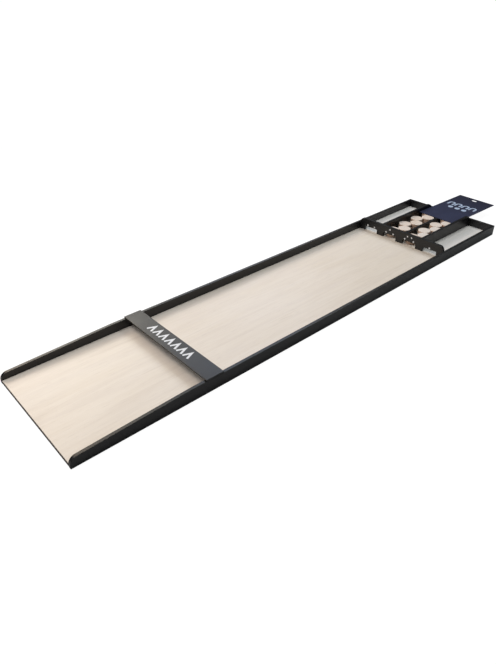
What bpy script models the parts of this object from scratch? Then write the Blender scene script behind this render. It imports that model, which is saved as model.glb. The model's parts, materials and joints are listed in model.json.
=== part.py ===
# Shuffleboard table: a long open trough with a starting bar, a gate of four arches,
# scoring lanes behind it, loose wooden discs and a rules card lying over the back end.
# Metres, +Z up. Inside the board frame X runs across, Y runs from the front edge to the back.

import math

import bpy

# Clearance between pieces that seat on one another
fit_gap = 0.0003

# Board
board_length = 2.000
board_width = 0.4285
wall_thickness = 0.0107
wall_height = 0.0427
edge_round = 0.0009

# Side rails: the part in front of the starting bar slopes down to a rounded nose
rail_nose_height = 0.0310
rail_nose_radius = 0.0220
rail_slope_length = 0.3600

# Playing panel and the strip that edges it at the front
panel_top_height = 0.0115
panel_thickness = 0.0090
panel_edge_round = 0.0004
edging_thickness = 0.0012

# Starting bar across the rails
bar_front = 0.4100
bar_depth = 0.0620
bar_thickness = 0.0048

# Gate board with four arches, pitched in a share of the width between the rails
gate_thickness = 0.0120
gate_rise = 0.0195
gate_corner_radius = 0.0190
arch_pitch_share = 0.2370
arch_width_share = 0.6633
arch_height = 0.0195
arch_corner_radius = 0.0040
arch_count = 4

# Dividers between the scoring lanes
divider_thickness = 0.0110
divider_rise = 0.0163
divider_tail_radius = 0.0300

# Wooden discs, set down in two staggered rows and two layers in the middle lanes
disc_diameter = 0.0520
disc_thickness = 0.0147
disc_edge_round = 0.0020
disc_spacing_gap = 0.0004
discs_in_a_lane = 15
disc_rows_shares = (-0.67, 1.0)
disc_gate_gap = 0.0014
lane_end_play = 0.0065

# Rules card with a hanging slot
card_length = 0.3360
card_overhang = 0.2220
card_thickness = 0.0015
card_side_play = 0.0004
card_turn = math.radians(1.6)
card_corner_radius = 0.0030
slot_length = 0.0250
slot_width = 0.0138
slot_inset = 0.0235

# Counts of short edges in curved outlines
arc_steps = 8
small_arc_steps = 3
disc_steps = 32
edge_steps = 2

# Sizes that follow from the ones above
inner_half_width = board_width / 2 - wall_thickness
panel_bottom_height = panel_top_height - panel_thickness
floor_height = panel_top_height + fit_gap
back_board_front = board_length - wall_thickness
gate_top_height = wall_height + gate_rise
arch_pitch = 2 * inner_half_width * arch_pitch_share
arch_width = arch_pitch * arch_width_share
lane_half_width = (arch_pitch - divider_thickness) / 2
tall_gap_half_width = arch_pitch - divider_thickness / 2

# The scoring lanes are as long as their staggered columns of discs, with some play
disc_radius = disc_diameter / 2
disc_columns = math.ceil(discs_in_a_lane / 2)
disc_spacing = disc_diameter + disc_spacing_gap
disc_side_play = lane_half_width - disc_radius - fit_gap
disc_stagger = disc_side_play * (max(disc_rows_shares) - min(disc_rows_shares))
disc_step = math.sqrt(max(disc_spacing**2 - disc_stagger**2, (disc_spacing / 2) ** 2))
lane_length = disc_gate_gap + disc_diameter + (disc_columns - 1) * disc_step + lane_end_play
gate_back = back_board_front - lane_length
gate_front = gate_back - gate_thickness
divider_front = gate_back + fit_gap
divider_length = back_board_front - fit_gap - divider_front

# The card lies on the walls or on the discs, whichever are higher
stack_height = floor_height + 2 * disc_thickness + fit_gap
card_height = max(wall_height, stack_height) + fit_gap
card_near = board_length + card_overhang - card_length
card_pivot_y = (card_near + back_board_front) / 2
card_reach = (back_board_front - card_near) / 2 + tall_gap_half_width * math.sin(card_turn)
card_half_width = (
    tall_gap_half_width - card_side_play - card_reach * math.tan(card_turn)
) * math.cos(card_turn)
card_far_y = (
    card_pivot_y
    + (card_length - card_pivot_y + card_near) * math.cos(card_turn)
    + card_half_width * math.sin(card_turn)
)
overall_length = max(board_length, card_far_y)


def clear_scene():
    for item in list(bpy.data.objects):
        bpy.data.objects.remove(item, do_unlink=True)


def make_material(name, colour, roughness, metallic=0.0):
    material = bpy.data.materials.new(name)
    material.use_nodes = True
    shader = material.node_tree.nodes["Principled BSDF"]
    shader.inputs["Base Color"].default_value = (*colour, 1.0)
    shader.inputs["Roughness"].default_value = roughness
    shader.inputs["Metallic"].default_value = metallic
    material.diffuse_color = (*colour, 1.0)
    return material


def arc(centre, radius, start_turn, end_turn, steps):
    """Points of a circular arc; the turns are in degrees, counter-clockwise from +X."""
    points = []
    for step in range(steps + 1):
        turn = math.radians(start_turn + (end_turn - start_turn) * step / steps)
        points.append((centre[0] + radius * math.cos(turn), centre[1] + radius * math.sin(turn)))
    return points


def add_spline(curve, points):
    spline = curve.splines.new("POLY")
    spline.points.add(len(points) - 1)
    for place, (x, y) in zip(spline.points, points):
        place.co = (x, y, 0.0, 1.0)
    spline.use_cyclic_u = True


def round_edges(item, width, from_curve=False):
    if from_curve:
        weld = item.modifiers.new("Weld", "WELD")
        weld.merge_threshold = fit_gap / 100
        flat = item.modifiers.new("Flat caps", "DECIMATE")
        flat.decimate_type = "DISSOLVE"
        flat.angle_limit = math.radians(1)
    bevel = item.modifiers.new("Edges", "BEVEL")
    bevel.width = width
    bevel.segments = edge_steps
    bevel.limit_method = "ANGLE"
    bevel.angle_limit = math.radians(50)


def add_outline(name, outlines, thickness, material, rounding=0.0):
    """A plate from closed outlines, centred on its own Z; an outline inside another is a hole."""
    curve = bpy.data.curves.new(name, "CURVE")
    curve.dimensions = "2D"
    curve.fill_mode = "BOTH"
    curve.extrude = thickness / 2
    for points in outlines:
        add_spline(curve, points)
    curve.materials.append(material)
    item = bpy.data.objects.new(name, curve)
    collection.objects.link(item)
    if rounding:
        round_edges(item, rounding, from_curve=True)
    return item


def add_block(name, low, high, material, rounding):
    """A box between two corners, with its origin at its centre."""
    bpy.ops.mesh.primitive_cube_add(size=1.0)
    item = bpy.context.active_object
    item.name = name
    item.data.name = name
    for owner in list(item.users_collection):
        owner.objects.unlink(item)
    collection.objects.link(item)
    item.scale = [b - a for a, b in zip(low, high)]
    bpy.ops.object.transform_apply(location=False, rotation=False, scale=True)
    item.location = [(a + b) / 2 for a, b in zip(low, high)]
    item.parent = board
    item.data.materials.append(material)
    round_edges(item, rounding)
    return item


def add_side_rail(name, side):
    """A rail whose outline runs along Y: nose arc, slope up to full height, level to the back."""
    slope = (wall_height - rail_nose_height) / rail_slope_length
    nose_centre_z = rail_nose_height + slope * rail_nose_radius
    nose_centre_z -= rail_nose_radius * math.sqrt(1 + slope * slope)
    end_turn = 90 + math.degrees(math.atan(slope))
    outline = [(0.0, 0.0)]
    outline += arc((rail_nose_radius, nose_centre_z), rail_nose_radius, 180, end_turn, arc_steps)
    outline += [(rail_slope_length, wall_height), (board_length, wall_height), (board_length, 0.0)]
    rail = add_outline(name, [outline], wall_thickness, black_board, edge_round)
    rail.parent = board
    rail.location = (side * (board_width - wall_thickness) / 2, 0.0, 0.0)
    rail.rotation_euler = (math.radians(90), 0.0, math.radians(90))


def add_panel():
    half = inner_half_width - fit_gap
    low = (-half, edging_thickness + fit_gap, panel_bottom_height)
    high = (half, back_board_front - fit_gap, panel_top_height)
    add_block("playing_panel", low, high, oak_laminate, panel_edge_round)
    low = (-half, 0.0, panel_bottom_height)
    high = (half, edging_thickness, panel_top_height)
    add_block("panel_front_edging", low, high, dark_edging, panel_edge_round)


def add_back_board():
    half = inner_half_width - fit_gap
    low = (-half, back_board_front, 0.0)
    high = (half, board_length, wall_height)
    add_block("back_board", low, high, black_board, edge_round)


def add_starting_bar():
    low = (-board_width / 2, bar_front, wall_height + fit_gap)
    high = (board_width / 2, bar_front + bar_depth, wall_height + fit_gap + bar_thickness)
    add_block("starting_bar", low, high, grey_bar, edge_round)


def add_gate():
    """A comb-shaped board: legs on the panel, four arches, rounded shoulders."""
    half = inner_half_width - fit_gap
    top = gate_top_height - floor_height
    crown = panel_top_height + arch_height - floor_height
    shoulder = gate_corner_radius
    outline = [(-half, 0.0)]
    outline += arc((-half + shoulder, top - shoulder), shoulder, 180, 90, arc_steps)
    outline += arc((half - shoulder, top - shoulder), shoulder, 90, 0, arc_steps)
    outline += [(half, 0.0)]
    for index in reversed(range(arch_count)):
        centre = (index - (arch_count - 1) / 2) * arch_pitch
        left, right = centre - arch_width / 2, centre + arch_width / 2
        inset = arch_corner_radius
        outline += [(right, 0.0)]
        outline += arc((right - inset, crown - inset), inset, 0, 90, small_arc_steps)
        outline += arc((left + inset, crown - inset), inset, 90, 180, small_arc_steps)
        outline += [(left, 0.0)]
    gate = add_outline("gate_board", [outline], gate_thickness, black_board, edge_round)
    gate.parent = board
    gate.location = (0.0, gate_front + gate_thickness / 2, floor_height)
    gate.rotation_euler = (math.radians(90), 0.0, 0.0)


def add_divider(name, x, rise, tail_radius):
    """A lane divider: square at the gate; a raised one curves down to the back board."""
    top = wall_height + rise - floor_height
    outline = [(0.0, top), (0.0, 0.0), (divider_length, 0.0)]
    if rise:
        run = math.sqrt(2 * tail_radius * rise - rise * rise)
        end_turn = math.degrees(math.asin(run / tail_radius))
        centre = (divider_length - run, top - tail_radius)
        outline += arc(centre, tail_radius, 90 - end_turn, 90, arc_steps)
    else:
        outline += [(divider_length, top)]
    divider = add_outline(name, [outline], divider_thickness, black_board, edge_round)
    divider.parent = board
    divider.location = (x, divider_front, floor_height)
    divider.rotation_euler = (math.radians(90), 0.0, math.radians(90))


def disc_mesh():
    """A turned disc: half of its section swept round its own axis, base at zero."""
    inset = disc_edge_round
    profile = [(0.0, disc_thickness)]
    profile += arc((disc_radius - inset, disc_thickness - inset), inset, 90, 0, edge_steps)
    profile += arc((disc_radius - inset, inset), inset, 0, -90, edge_steps)
    profile += [(0.0, 0.0)]
    mesh = bpy.data.meshes.new("disc_profile")
    edges = [(index, index + 1) for index in range(len(profile) - 1)]
    mesh.from_pydata([(x, 0.0, z) for x, z in profile], edges, [])
    item = bpy.data.objects.new("disc_profile", mesh)
    collection.objects.link(item)
    turn = item.modifiers.new("Turn", "SCREW")
    turn.steps = disc_steps
    turn.render_steps = disc_steps
    turn.use_merge_vertices = True
    turn.merge_threshold = fit_gap / 10
    graph = bpy.context.evaluated_depsgraph_get()
    turned = bpy.data.meshes.new_from_object(item.evaluated_get(graph))
    bpy.data.objects.remove(item, do_unlink=True)
    turned.name = "disc"
    turned.materials.append(beech)
    turned.polygons.foreach_set("use_smooth", [True] * len(turned.polygons))
    turned.set_sharp_from_angle(angle=math.radians(30))
    return turned


def add_disc(name, mesh, location, parent):
    item = bpy.data.objects.new(name, mesh)
    collection.objects.link(item)
    item.parent = parent
    item.location = location
    return item


def add_discs():
    """Staggered columns down each middle lane: a lower disc, and an upper one riding on it."""
    mesh = disc_mesh()
    first = gate_back + disc_gate_gap + disc_radius
    for lane, side in (("left", -1), ("right", 1)):
        for column in range(disc_columns):
            row_share = disc_rows_shares[column % len(disc_rows_shares)]
            x = side * arch_pitch / 2 + disc_side_play * row_share
            y = first + column * disc_step
            number = f"{column + 1:02d}"
            lower = add_disc(f"disc_{lane}_{number}_lower", mesh, (x, y, floor_height), board)
            if disc_columns + column < discs_in_a_lane:
                lift = disc_thickness + fit_gap
                add_disc(f"disc_{lane}_{number}_upper", mesh, (0.0, 0.0, lift), lower)


def add_card():
    """The card lies between the tall dividers, turned a little, with its slot past the back."""
    pivot = bpy.data.objects.new("card_pivot", None)
    collection.objects.link(pivot)
    pivot.parent = board
    pivot.location = (0.0, card_pivot_y, card_height)
    pivot.rotation_euler = (0.0, 0.0, -card_turn)
    half = card_half_width
    near = card_near - card_pivot_y
    far = near + card_length
    corner = card_corner_radius
    outline = arc((half - corner, far - corner), corner, 0, 90, small_arc_steps)
    outline += arc((-half + corner, far - corner), corner, 90, 180, small_arc_steps)
    outline += arc((-half + corner, near + corner), corner, 180, 270, small_arc_steps)
    outline += arc((half - corner, near + corner), corner, 270, 360, small_arc_steps)
    radius = slot_width / 2
    slot_y = far - slot_inset
    slot_end = slot_length / 2 - radius
    slot = arc((slot_end, slot_y), radius, -90, 90, arc_steps)
    slot += arc((-slot_end, slot_y), radius, 90, 270, arc_steps)
    card = add_outline("rules_card", [outline, slot], card_thickness, navy_card)
    card.parent = pivot
    card.location = (0.0, 0.0, card_thickness / 2)


clear_scene()
collection = bpy.data.collections.new("shuffleboard_table")
bpy.context.scene.collection.children.link(collection)

black_board = make_material("black_board", (0.018, 0.018, 0.019), 0.45)
grey_bar = make_material("grey_bar", (0.060, 0.062, 0.065), 0.42)
oak_laminate = make_material("oak_laminate", (0.760, 0.680, 0.580), 0.45)
dark_edging = make_material("dark_edging", (0.030, 0.024, 0.019), 0.55)
beech = make_material("beech", (0.720, 0.600, 0.500), 0.55)
navy_card = make_material("navy_card", (0.028, 0.034, 0.090), 0.50)

# The frame's origin is under the middle of the whole object, card included
board = bpy.data.objects.new("board_frame", None)
collection.objects.link(board)
board.location = (0.0, -overall_length / 2, 0.0)

add_panel()
add_side_rail("side_rail_left", -1)
add_side_rail("side_rail_right", 1)
add_back_board()
add_starting_bar()
add_gate()
add_divider("divider_left", -arch_pitch, divider_rise, divider_tail_radius)
add_divider("divider_centre", 0.0, 0.0, divider_tail_radius)
add_divider("divider_right", arch_pitch, divider_rise, divider_tail_radius)
add_discs()
add_card()
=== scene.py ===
# Shuffleboard table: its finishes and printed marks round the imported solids, with a floor, lights and a camera.
# Metres. X runs across the table, Y from the player's end to the back, Z up from the resting plane.

import math

import bpy
import numpy as np
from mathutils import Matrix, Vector
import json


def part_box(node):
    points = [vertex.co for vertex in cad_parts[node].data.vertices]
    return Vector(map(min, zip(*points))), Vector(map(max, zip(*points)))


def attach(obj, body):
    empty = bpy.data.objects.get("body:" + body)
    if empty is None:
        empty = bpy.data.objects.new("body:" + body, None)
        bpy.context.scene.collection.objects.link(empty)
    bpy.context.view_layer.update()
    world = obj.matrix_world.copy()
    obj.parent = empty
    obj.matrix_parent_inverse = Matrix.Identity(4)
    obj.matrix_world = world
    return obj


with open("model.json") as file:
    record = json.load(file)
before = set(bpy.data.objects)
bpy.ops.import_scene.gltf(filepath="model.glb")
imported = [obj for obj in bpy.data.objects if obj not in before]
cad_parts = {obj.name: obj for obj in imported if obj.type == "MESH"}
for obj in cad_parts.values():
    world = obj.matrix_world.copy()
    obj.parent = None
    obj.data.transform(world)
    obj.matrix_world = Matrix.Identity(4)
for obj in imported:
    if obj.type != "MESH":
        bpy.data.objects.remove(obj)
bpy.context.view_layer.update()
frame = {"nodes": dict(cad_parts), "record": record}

nodes = frame["nodes"]
MM = 0.001


def linear(code):
    """An sRGB hex colour as linear RGBA, which the shader's sockets take."""
    srgb = np.array([int(code[place:place + 2], 16) for place in (1, 3, 5)]) / 255
    return (*np.where(srgb <= 0.04045, srgb / 12.92, ((srgb + 0.055) / 1.055) ** 2.4), 1.0)


def add(tree, kind, inputs=(), **settings):
    """One node: settings are its own properties, inputs pairs of a socket and a value or another node's output."""
    made = tree.nodes.new("ShaderNode" + kind)
    for name, value in settings.items():
        setattr(made, name, value)
    for socket, value in dict(inputs).items():
        if isinstance(value, bpy.types.NodeSocket):
            tree.links.new(value, made.inputs[socket])
        else:
            made.inputs[socket].default_value = value
    return made.outputs


def finish(name, **constants):
    """A material with a Principled shader whose named sockets hold constants; underscores stand for spaces."""
    material = bpy.data.materials.new(name)
    material.use_nodes = True
    shader = material.node_tree.nodes["Principled BSDF"]
    for socket, value in constants.items():
        shader.inputs[socket.replace("_", " ")].default_value = value
    return material, material.node_tree, shader


def grain(tree, period_mm, phase=0.0, detail=3.0, distortion=0.0):
    """Noise from 0 to 1 whose period along X, Y and Z is given in real millimetres. Each detail level has 0.55 of
    the strength of the one before it."""
    place = add(tree, "TexCoord")["Object"]
    scale = [1 / (period * MM) for period in period_mm]
    spot = add(tree, "Mapping", {"Vector": place, "Scale": scale, "Location": (phase, phase, phase)})["Vector"]
    wanted = {"Vector": spot, "Scale": 1.0, "Detail": detail, "Roughness": 0.55, "Distortion": distortion}
    return add(tree, "TexNoise", wanted)["Fac"]


def between(tree, value, low, high, to_low=0.0, to_high=1.0):
    """The value mapped from low..high to to_low..to_high, and held at both ends."""
    limits = {"Value": value, "From Min": low, "From Max": high, "To Min": to_low, "To Max": to_high}
    return add(tree, "MapRange", limits)["Result"]


def blend(tree, share, first, second):
    """Two colours mixed by a share; a colour Mix node has them on sockets 6 and 7, and its result on output 2."""
    return add(tree, "Mix", {"Factor": share, 6: first, 7: second}, data_type="RGBA")[2]


def relief(tree, shader, height, depth_mm):
    """A bump of a real depth on the shader's normal."""
    inputs = {"Height": height, "Distance": depth_mm * MM, "Strength": 1.0}
    tree.links.new(add(tree, "Bump", inputs)["Normal"], shader.inputs["Normal"])


def worn_edge(tree, width_mm):
    """Nought on a flat face, rising to one on an arris: how far a normal rounded over that width turns away."""
    rounded = add(tree, "Bevel", {"Radius": width_mm * MM}, samples=4)["Normal"]
    flat = add(tree, "NewGeometry")["True Normal"]
    facing = add(tree, "VectorMath", {0: rounded, 1: flat}, operation="DOT_PRODUCT")["Value"]
    return between(tree, facing, 0.995, 0.80)


def oak_laminate(lanes_from, lanes_beyond):
    """Melamine-faced board: a printed limed-oak paper pressed under clear resin, so the grain is only a picture
    under an even satin face, with long pale bands, short fine pores and a little pressed-in texture. In the two
    outer lanes, behind lanes_from along Y and further out than lanes_beyond along X, both in metres, the colour
    is painted paler and greyer: painted light, for the brighter light that falls on those lanes."""
    material, tree, shader = finish("limed_oak_melamine", Roughness=0.42, IOR=1.5)
    bands = grain(tree, (11, 300, 11), detail=3, distortion=0.5)
    clouds = grain(tree, (120, 420, 120), phase=5.0, detail=2)
    # Real pores are 0.2 mm wide and are drawn wider so that they show
    pores = between(tree, grain(tree, (2.2, 40, 2.2), phase=9.0, detail=2), 0.58, 0.76)
    figure = between(tree, grain(tree, (46, 700, 46), phase=3.0, detail=6, distortion=2.2), 0.44, 0.62)
    lines = between(tree, grain(tree, (7, 330, 7), phase=14.0, detail=2, distortion=0.8), 0.66, 0.73)
    colour = blend(tree, between(tree, bands, 0.30, 0.72), linear("#e8ded2"), linear("#e4d9cb"))
    colour = blend(tree, between(tree, figure, 0.0, 1.0, 0.0, 0.35), colour, linear("#d8ccc1"))
    colour = blend(tree, between(tree, clouds, 0.35, 0.70, 0.0, 0.35), colour, linear("#f0e9e2"))
    colour = blend(tree, between(tree, lines, 0.0, 1.0, 0.0, 0.18), colour, linear("#b7a897"))
    colour = blend(tree, between(tree, pores, 0.0, 1.0, 0.0, 0.18), colour, linear("#a6978a"))
    # Painted light: the floor of the two outer lanes behind the gate is painted paler and greyer, for the brighter
    # light there
    place = add(tree, "SeparateXYZ", {0: add(tree, "TexCoord")["Object"]})
    behind = between(tree, place["Y"], lanes_from - 0.001, lanes_from, 0.0, 0.85)
    out = add(tree, "Math", {0: place["X"]}, operation="ABSOLUTE")[0]
    outer = between(tree, out, lanes_beyond - 0.001, lanes_beyond)
    painted_lane_light = add(tree, "Math", {0: behind, 1: outer}, operation="MULTIPLY")[0]
    colour = blend(tree, painted_lane_light, colour, linear("#f2eeea"))
    tree.links.new(colour, shader.inputs["Base Color"])
    tree.links.new(between(tree, bands, 0.3, 0.7, 0.38, 0.47), shader.inputs["Roughness"])
    relief(tree, shader, pores, -0.05)
    return material


def black_lacquer(name, dark, light):
    """Sanded fibreboard sprayed with satin black lacquer: nearly even, with the faint pebbling of a sprayed coat,
    a few dull patches from hands, and arrises that are rubbed a little lighter."""
    material, tree, shader = finish(name, Roughness=0.38, IOR=1.5)
    patches = grain(tree, (60, 160, 60), detail=3)
    # The pebbling of a sprayed coat is about 1.5 mm from crest to crest
    pebbles = grain(tree, (1.5, 1.5, 1.5), phase=2.0, detail=1)
    rubbed = add(tree, "Math", {0: worn_edge(tree, 1.0), 1: between(tree, grain(tree, (7, 18, 7)), 0.40, 0.62)},
                 operation="MULTIPLY")[0]
    colour = blend(tree, between(tree, patches, 0.35, 0.68), linear(dark), linear(light))
    colour = blend(tree, between(tree, rubbed, 0.0, 1.0, 0.0, 0.55), colour, linear("#4a4845"))
    tree.links.new(colour, shader.inputs["Base Color"])
    tree.links.new(between(tree, patches, 0.3, 0.7, 0.34, 0.43), shader.inputs["Roughness"])
    relief(tree, shader, pebbles, 0.02)
    return material


def turned_beech():
    """Beech turned on a lathe, sanded and waxed: pale pinkish wood with short brown flecks along the grain and
    soft growth bands, each disc a little different in tone. Its turned side is painted darker and browner:
    partly the cut across the fibres, and partly painted shade for the sides that stand in shadow between the discs."""
    material, tree, shader = finish("waxed_beech", Roughness=0.48, IOR=1.5)
    tone = add(tree, "ObjectInfo")["Random"]
    bands = grain(tree, (5, 70, 5), detail=3, distortion=0.5)
    # Beech flecks are about 0.5 mm by 3 mm, drawn a little larger
    flecks = between(tree, grain(tree, (0.9, 5, 0.9), phase=4.0, detail=1), 0.58, 0.70)
    colour = blend(tree, between(tree, bands, 0.32, 0.70), linear("#ecdfd4"), linear("#dfcbbb"))
    colour = blend(tree, between(tree, tone, 0.0, 1.0, 0.0, 0.60), colour, linear("#e6e2df"))
    colour = blend(tree, between(tree, flecks, 0.0, 1.0, 0.0, 0.35), colour, linear("#a98b76"))
    # Painted shade: faces that look sideways, the discs' turned sides, are painted darker and browner, partly for
    # the cross grain and partly for the shade they stand in
    rise = add(tree, "SeparateXYZ", {0: add(tree, "NewGeometry")["True Normal"]})["Z"]
    painted_side_shade = between(tree, add(tree, "Math", {0: rise}, operation="ABSOLUTE")[0], 0.80, 0.20)
    colour = blend(tree, between(tree, painted_side_shade, 0.0, 1.0, 0.0, 0.55), colour, linear("#b98a62"))
    tree.links.new(colour, shader.inputs["Base Color"])
    tree.links.new(between(tree, bands, 0.3, 0.7, 0.44, 0.54), shader.inputs["Roughness"])
    relief(tree, shader, bands, 0.03)
    return material


def laminated_card():
    """Greyboard 1.5 mm thick, faced with navy printed paper under a matt film, with a fine linen-like tooth in the
    film and faintly paler rubbed places. Towards the slot the navy is painted a little darker and greyer: painted
    shade for the sheen that fades at the card's far end."""
    material, tree, shader = finish("navy_film_laminated_card", IOR=1.49, Specular_IOR_Level=0.25)
    rubs = grain(tree, (35, 60, 35), detail=4)
    tooth = grain(tree, (0.8, 0.8, 0.8), phase=6.0, detail=1)
    colour = blend(tree, between(tree, rubs, 0.35, 0.70), linear("#2a2e47"), linear("#303550"))
    # Painted shade: the navy darkens and greys along Y towards the far end, where the slot is, for the sheen that
    # fades there
    along = add(tree, "SeparateXYZ", {0: add(tree, "TexCoord")["Object"]})["Y"]
    colour = blend(tree, between(tree, along, 0.86, 1.10), colour, linear("#26273a"))
    colour = blend(tree, between(tree, worn_edge(tree, 0.8), 0.0, 1.0, 0.0, 0.35), colour, linear("#5b6078"))
    tree.links.new(colour, shader.inputs["Base Color"])
    tree.links.new(between(tree, rubs, 0.3, 0.7, 0.62, 0.72), shader.inputs["Roughness"])
    relief(tree, shader, tooth, 0.015)
    return material


def edge_band():
    """Dark brown ABS edge band, extruded and glued on: a dull, slightly streaked plastic strip."""
    material, tree, shader = finish("brown_edge_band", Roughness=0.52, IOR=1.53)
    streaks = grain(tree, (45, 2, 1.2), detail=3)
    colour = blend(tree, between(tree, streaks, 0.3, 0.7), linear("#2a211b"), linear("#3b2f27"))
    tree.links.new(colour, shader.inputs["Base Color"])
    relief(tree, shader, streaks, 0.01)
    return material


def printed_ink(name, full, thin):
    """Screen-printed ink: a flat satin film, a little thinner in specks where the mesh left less of it."""
    material, tree, shader = finish(name, Roughness=0.50, IOR=1.48)
    # The screen's mesh marks are finer than 0.2 mm and are drawn at 0.9 mm
    specks = between(tree, grain(tree, (0.9, 0.9, 0.9), detail=2), 0.55, 0.75)
    tree.links.new(blend(tree, specks, linear(full), linear(thin)), shader.inputs["Base Color"])
    relief(tree, shader, specks, -0.01)
    return material


def surface(name, points, faces, material, body):
    """A mesh from whole arrays of points and faces that rides on a body."""
    mesh = bpy.data.meshes.new(name)
    mesh.from_pydata(points.reshape(-1, 3), [], faces.tolist())
    mesh.materials.append(material)
    mesh.validate()
    item = bpy.data.objects.new(name, mesh)
    bpy.context.scene.collection.objects.link(item)
    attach(item, body)
    return item


def wrapped_quads(count, rows, columns):
    """Quads of count separate grids, each rows by columns, where the columns close on themselves."""
    row, column = np.meshgrid(np.arange(rows - 1), np.arange(columns), indexing="ij")
    after = (column + 1) % columns
    quad = np.stack([row * columns + column, row * columns + after,
                     (row + 1) * columns + after, (row + 1) * columns + column], axis=-1).reshape(-1, 4)
    return (quad[None] + (np.arange(count) * rows * columns)[:, None, None]).reshape(-1, 4)


def paint_dots(name, centres, radius, height, material, body):
    """Domed dots on a face that looks towards -Y. Each is a surface of revolution in two parameters: the turn, and
    a step from the middle over the dome to the rim, where the height falls with the square of the distance, then
    back to the middle on the face behind."""
    share = np.array([0.02, 0.45, 0.75, 0.92, 1.0, 1.0, 0.02])
    rise = np.array([1.0, 0.93, 0.72, 0.42, 0.15, -0.2, -0.2])
    turn = np.linspace(0, 2 * math.pi, 28, endpoint=False)
    across = radius * share[:, None] * np.cos(turn)
    up = radius * share[:, None] * np.sin(turn)
    out = np.broadcast_to(-height * rise[:, None], across.shape)
    shape = np.stack([across, out, up], axis=-1)
    points = np.asarray(centres)[:, None, None, :] + shape[None]
    faces = wrapped_quads(len(centres), *across.shape)[:, ::-1]
    return surface(name, points, faces, material, body)


def printed_lines(name, paths, width, height, place, material, body):
    """Flat printed strokes: a low rectangle carried along each path, mitred at its corners, where a corner's offset
    is the sum of both neighbours' normals over one plus their product. place turns the paths to the frame."""
    points, faces, start = [], [], 0
    for path in paths:
        path = np.asarray(path, float)
        step = np.diff(path, axis=0)
        step /= np.linalg.norm(step, axis=1, keepdims=True)
        normal = np.stack([-step[:, 1], step[:, 0]], axis=1)
        before, after = np.vstack([normal[:1], normal]), np.vstack([normal, normal[-1:]])
        mitre = (before + after) / (1 + np.sum(before * after, axis=1, keepdims=True))
        left, right = path + mitre * width / 2, path - mitre * width / 2
        low, high = np.full((len(path), 1), -height / 2), np.full((len(path), 1), height)
        ring = [np.hstack([left, low]), np.hstack([left, high]), np.hstack([right, high]), np.hstack([right, low])]
        grid = np.stack(ring, axis=1)
        ends = [[start, start + 1, start + 2, start + 3]]
        ends += [[start + grid.shape[0] * 4 - back for back in (1, 2, 3, 4)]]
        faces.append(np.vstack([wrapped_quads(1, len(path), 4)[:, ::-1] + start, ends]))
        points.append(grid.reshape(-1, 3))
        start += len(points[-1])
    return surface(name, place(np.vstack(points)), np.vstack(faces), material, body)


def arch_path(centre, half_width, height, steps=10):
    """Foot, half circle, foot: the outline of one round arch."""
    turn = np.linspace(math.pi, 0, steps)
    crown = np.stack([centre + half_width * np.cos(turn), height - half_width + half_width * np.sin(turn)], axis=1)
    return np.vstack([[centre - half_width, 0], crown, [centre + half_width, 0]])


# Finishes on the solids
lacquer = black_lacquer("satin_black_lacquer", "#111113", "#18181a")
bar_lacquer = black_lacquer("satin_grey_lacquer", "#1d1d1e", "#252527")
finishes = {
    "black_board": lacquer,
    "grey_bar": bar_lacquer,
    "oak_laminate": oak_laminate(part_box("gate_board")[1][1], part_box("divider_right")[0][0]),
    "dark_edging": edge_band(),
    "beech": turned_beech(),
    "navy_card": laminated_card(),
}
for part in frame["record"]["subparts"]:
    nodes[part["node"]].data.materials.clear()
    nodes[part["node"]].data.materials.append(finishes[part["material_slot"]])

white_ink = printed_ink("white_screen_ink", "#e6e9ee", "#c9ced6")
blue_ink = printed_ink("pale_blue_screen_ink", "#b4c4dd", "#8fa2c2")

# Domino-like marks over the arches, which count two, three, four and one. Each dot's place is in millimetres across
# from its arch's middle and up from the resting plane.
gate_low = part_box("gate_board")[0]
arch_pitch = 96.48
dot_radius, dot_height = 3.6 * MM, 0.25 * MM
marks = {
    -1.5 * arch_pitch: [(-17.5, 37), (17.5, 37)],
    -0.5 * arch_pitch: [(-18, 37), (18, 37), (0, 52)],
    0.5 * arch_pitch: [(-21, 37), (21, 37), (-10, 51), (10, 51)],
    1.5 * arch_pitch: [(0, 36)],
}
centres = [((arch + x) * MM, gate_low[1], z * MM) for arch, dots in marks.items() for x, z in dots]
paint_dots("gate_marks", centres, dot_radius, dot_height, white_ink, "board")
ink_height = 0.1

# A row of plain chevrons along the starting bar points towards the gate, in millimetres from the row's middle,
# which lies a little left of the table's
bar_low, bar_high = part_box("starting_bar")
row_middle = (-0.004, (bar_low[1] + bar_high[1]) / 2, bar_high[2])
chevron_pitch, half_width, half_depth, chevron_stroke = 31, 11, 13, 7.0
chevrons = [[(x - half_width, -half_depth), (x, half_depth), (x + half_width, -half_depth)]
            for x in chevron_pitch * np.arange(-3, 4)]
printed_lines(
    "bar_chevrons", chevrons, chevron_stroke, ink_height,
    lambda p: p * MM + row_middle, white_ink, "board")

# A plain picture of four arches and three discs on the card, turned with it, in millimetres from the picture's
# middle. A disc is a ring whose stroke is nearly as wide as the ring, so that only a pinhole is left.
card_low, card_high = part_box("rules_card")
card_turn = math.radians(-1.6)
spin = np.array([[math.cos(card_turn), math.sin(card_turn), 0],
                 [-math.sin(card_turn), math.cos(card_turn), 0],
                 [0, 0, 1]])
card_middle = np.array([(card_low[0] + card_high[0]) / 2, (card_low[1] + card_high[1]) / 2, card_high[2]])
picture_middle = (0, 32, 0)
arches = [arch_path(x, 12, 34) - (0, 10) for x in (-54, -18, 18, 54)]
round_turn = np.linspace(0, 2 * math.pi, 25)
spots = [np.stack([x + 6 * np.cos(round_turn), -34 + 6 * np.sin(round_turn)], axis=1) for x in (-34, 0, 34)]
for name, paths, stroke in (("card_arches", arches, 8.0), ("card_spots", spots, 11.6)):
    printed_lines(
        name, paths, stroke, ink_height,
        lambda p: (p + picture_middle) * MM @ spin + card_middle, blue_ink, "rules_card")

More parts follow.
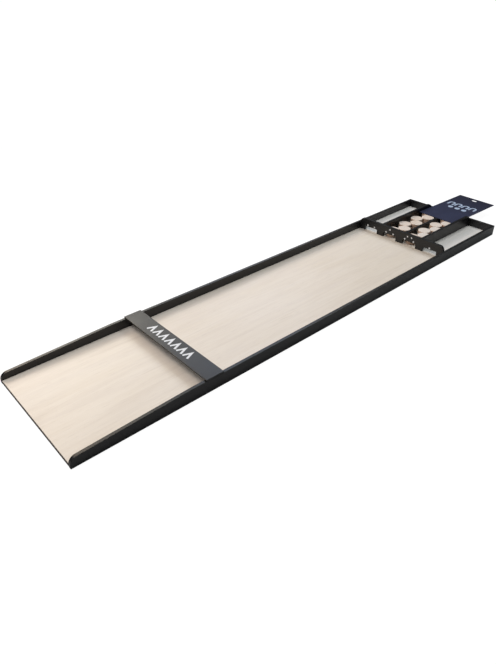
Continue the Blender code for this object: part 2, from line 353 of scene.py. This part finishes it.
# Floor: white to camera rays only, and plain pale grey to all others, so that white light from below doesn't wash
# out the table's sides. Nothing here is metal or glass, so no reflection shows the difference. To the camera the
# floor adds a dim diffuse share to its glow, so that it keeps the table's shadow. It ends where that share still
# brings it to full white.
floor_mesh = bpy.data.meshes.new("floor")
reach = 2.5
floor_points = [(-reach, -reach, 0), (reach, -reach, 0), (reach, reach, 0), (-reach, reach, 0)]
floor_mesh.from_pydata(floor_points, [], [(0, 1, 2, 3)])
floor = bpy.data.objects.new("floor", floor_mesh)
floor.location.z = -0.0004  # Just under the feet, so that no two faces share a plane
bpy.context.scene.collection.objects.link(floor)
floor_material, tree, shader = finish("matt_floor", Roughness=0.9)
shader.inputs["Base Color"].default_value = linear("#c8c8c8")
ray = add(tree, "LightPath")["Is Camera Ray"]
white = add(tree, "Emission", {"Color": (1, 1, 1, 1), "Strength": 0.968})["Emission"]
shaded = add(tree, "BsdfDiffuse", {"Color": linear("#6c6c6c")})["BSDF"]
seen = add(tree, "AddShader", {0: white, 1: shaded})[0]
mixed = add(tree, "MixShader", {0: ray, 1: shader.outputs[0], 2: seen})[0]
tree.links.new(mixed, tree.nodes["Material Output"].inputs["Surface"])
floor_mesh.materials.append(floor_material)

# World: white to camera rays, a dim and even light otherwise
world = bpy.data.worlds.new("studio")
bpy.context.scene.world = world
world.use_nodes = True
tree = world.node_tree
camera_ray = add(tree, "LightPath")["Is Camera Ray"]
strength = between(tree, camera_ray, 0.0, 1.0, 0.04, 1.02)
colour = blend(tree, camera_ray, linear("#eef2fa"), (1, 1, 1, 1))
tree.links.new(colour, tree.nodes["Background"].inputs["Color"])
tree.links.new(strength, tree.nodes["Background"].inputs["Strength"])


def softbox(name, place, aim, size, power, colour):
    """A large square lamp that faces a point."""
    lamp = bpy.data.lights.new(name, "AREA")
    lamp.shape, lamp.size, lamp.energy = "SQUARE", size, power
    lamp.color = colour
    item = bpy.data.objects.new(name, lamp)
    item.location = place
    item.rotation_euler = (Vector(aim) - Vector(place)).to_track_quat("-Z", "Y").to_euler()
    bpy.context.scene.collection.objects.link(item)


# Places and strengths were fitted so that panel, bar, rails, card and discs show at the photograph's levels
softbox("left_key", (-2.6, 0, 1.7), (0, 0, 0), 1.4, 33.4, (1.0, 0.96, 0.85))
softbox("front_left_warm", (-2.4, -1.0, 2.2), (0, -0.5, 0), 1.4, 19.7, (1.0, 0.71, 0.47))
softbox("front_top", (-0.4, -1.6, 2.2), (0, -0.8, 0), 1.6, 31.0, (1.0, 0.99, 0.99))
softbox("back_left_low", (-2.2, 1.8, 1.8), (0, 0.3, 0), 1.6, 12.8, (1.0, 0.92, 0.91))
softbox("back_top", (0, 1.4, 2.2), (0, 0.8, 0), 1.4, 21.1, (0.94, 1.0, 1.0))
softbox("back_left_cool", (-1.7, 1.2, 2.0), (0, 0.7, 0), 1.2, 7.3, (0.39, 0.64, 1.0))

# Camera, from the photograph's lines
camera_data = bpy.data.cameras.new("camera")
camera_data.lens = 29.995
camera_data.sensor_width = 36.0
camera_data.shift_x = 0.00939
camera_data.shift_y = -0.03057
camera_data.clip_end = 200.0
camera = bpy.data.objects.new("camera", camera_data)
camera.location = (1.1592, -1.40553, 1.01461)
camera.rotation_euler = (math.radians(57.5985), math.radians(0.0765), math.radians(48.613))
bpy.context.scene.collection.objects.link(camera)
bpy.context.scene.camera = camera

bpy.context.scene.view_settings.view_transform = "Standard"
